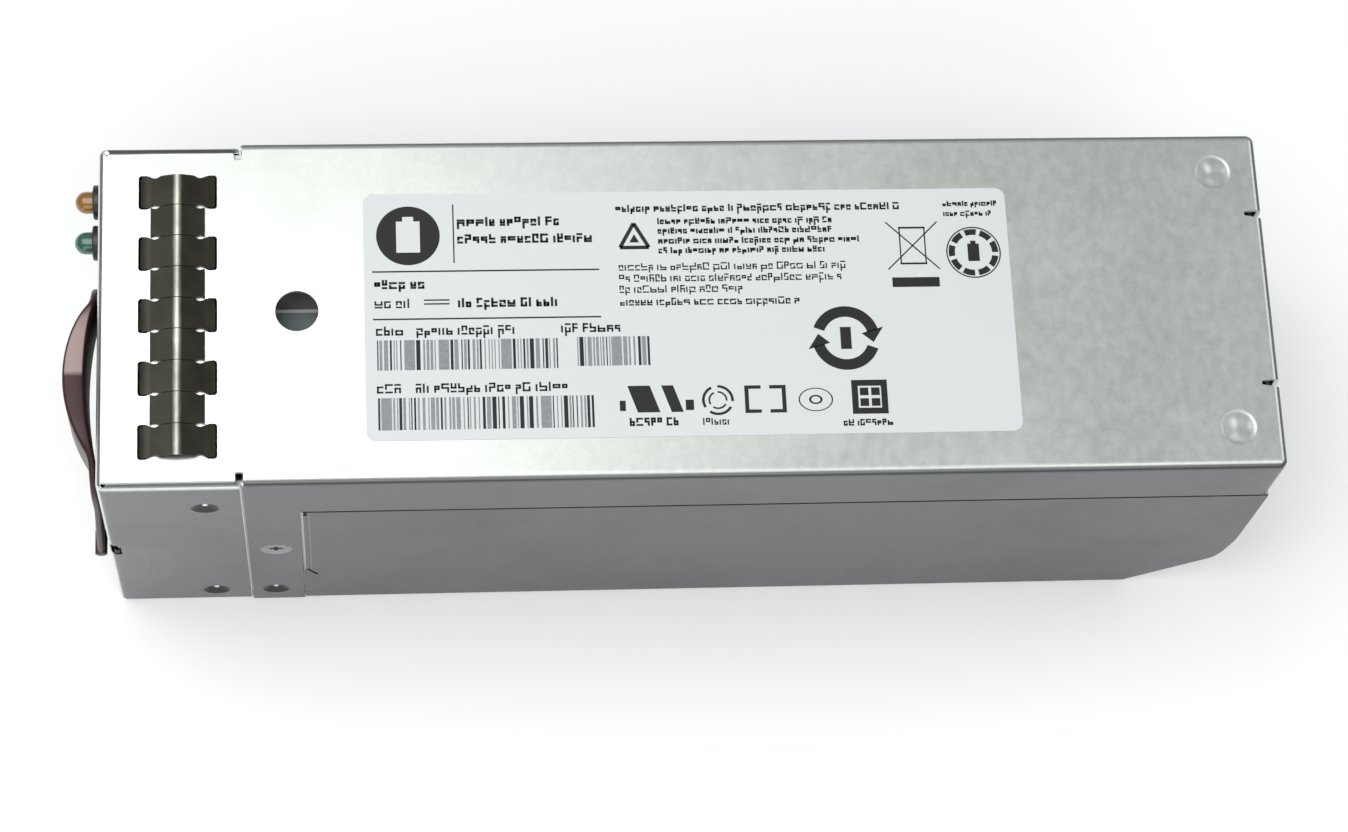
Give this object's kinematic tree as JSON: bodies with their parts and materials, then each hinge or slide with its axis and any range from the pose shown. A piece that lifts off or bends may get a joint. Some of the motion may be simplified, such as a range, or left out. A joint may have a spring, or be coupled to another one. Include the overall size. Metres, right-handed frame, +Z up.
{
  "type": "slide-in battery module",
  "caption": "Long sheet-metal rack battery module with a folding pull handle, two status lamps, a grounding finger strip and a rear blind-mate connector.",
  "frame": {"origin": "centre of the underside of the case, on its flat floor, midway between the front face and the rear wall", "axes": "+Y runs from the front face to the rear connector, +X is to the right seen from in front (the side the pull handle is nearer to), +Z is up"},
  "size_m": [0.08, 0.2716, 0.0862],
  "materials": {
    "galvanised_sheet": "bright zinc-plated sheet with a fine mottled spangle, satin",
    "inner_sheet": "plain zinc-plated sheet, satin",
    "spring_bronze": "dark tin-plated copper alloy with a bright worn crest",
    "label_film": "pale grey printed polyester film, satin",
    "burgundy_plastic": "dark burgundy moulded plastic, semi-gloss",
    "zinc_screws": "zinc-plated steel, satin",
    "black_plastic": "black moulded plastic, matt",
    "amber_lens": "tinted translucent resin, gloss",
    "green_lens": "tinted translucent resin, gloss",
    "board_laminate": "green circuit board, satin",
    "cell_wrap": "blue shrink sleeve, satin",
    "nickel_plate": "nickel-plated strip, satin",
    "copper_plate": "bare copper strip, satin",
    "insulation_paper": "fish paper, matt",
    "foam": "closed-cell foam, matt",
    "capacitor_sleeve": "dark printed sleeve, satin",
    "anodised_aluminium": "black anodised, matt",
    "enamelled_copper": "enamelled winding, gloss",
    "fuse_ceramic": "ceramic with plated caps, satin",
    "tinned_brass": "tinned brass, satin",
    "natural_nylon": "natural nylon, matt",
    "red_sleeve": "silicone sleeve, matt",
    "black_sleeve": "silicone sleeve, matt",
    "grey_sleeve": "PVC sleeve, matt"
  },
  "bodies": {
    "case": {"base_tray": "galvanised_sheet", "busbar_negative": "nickel_plate", "busbar_positive": "copper_plate", "cable_guide": "inner_sheet", "capacitor_1": "capacitor_sleeve", "capacitor_2": "capacitor_sleeve", "cell_1": "cell_wrap", "cell_2": "cell_wrap", "cell_3": "cell_wrap", "cell_4": "cell_wrap", "cell_5": "cell_wrap", "cell_6": "cell_wrap", "cell_holder_left": "black_plastic", "cell_holder_right": "black_plastic", "controller_chip": "black_plastic", "emi_finger_strip": "spring_bronze", "foam_pad": "foam", "front_panel": "galvanised_sheet", "fuse": "fuse_ceramic", "handle_bracket_left": "galvanised_sheet", "handle_bracket_right": "galvanised_sheet", "handle_pin_left": "zinc_screws", "handle_pin_right": "zinc_screws", "heatsink": "anodised_aluminium", "inductor_1": "enamelled_copper", "inductor_2": "enamelled_copper", "insulation_sheet_left": "insulation_paper", "insulation_sheet_right": "insulation_paper", "lamp_lead": "grey_sleeve", "lamp_plug": "natural_nylon", "lead_negative": "black_sleeve", "lead_positive": "red_sleeve", "led_amber": "amber_lens", "led_board": "board_laminate", "led_collar_amber": "black_plastic", "led_collar_green": "black_plastic", "led_green": "green_lens", "monitor_board": "board_laminate", "monitor_chip": "black_plastic", "power_board": "board_laminate", "rating_label": "label_film", "rear_connector": "black_plastic", "screw_panel_lower_left": "zinc_screws", "screw_panel_lower_right": "zinc_screws", "screw_panel_upper_left": "zinc_screws", "screw_panel_upper_right": "zinc_screws", "screw_tab_lower_left": "zinc_screws", "screw_tab_lower_right": "zinc_screws", "screw_tab_upper_left": "zinc_screws", "screw_tab_upper_right": "zinc_screws", "signal_lead": "grey_sleeve", "signal_plug": "natural_nylon", "standoff_1": "zinc_screws", "standoff_2": "zinc_screws", "standoff_3": "zinc_screws", "standoff_4": "zinc_screws", "terminal_negative": "tinned_brass", "terminal_positive": "tinned_brass", "top_cover": "galvanised_sheet"},
    "handle": {"pull_handle": "burgundy_plastic"}
  },
  "joints": [
    {"name": "handle_hinge", "type": "hinge", "parent": "case", "child": "handle", "pos_m": [0.0125, -0.1326, 0.027], "axis": [1, 0, 0], "range_deg": [0, 95]}
  ]
}
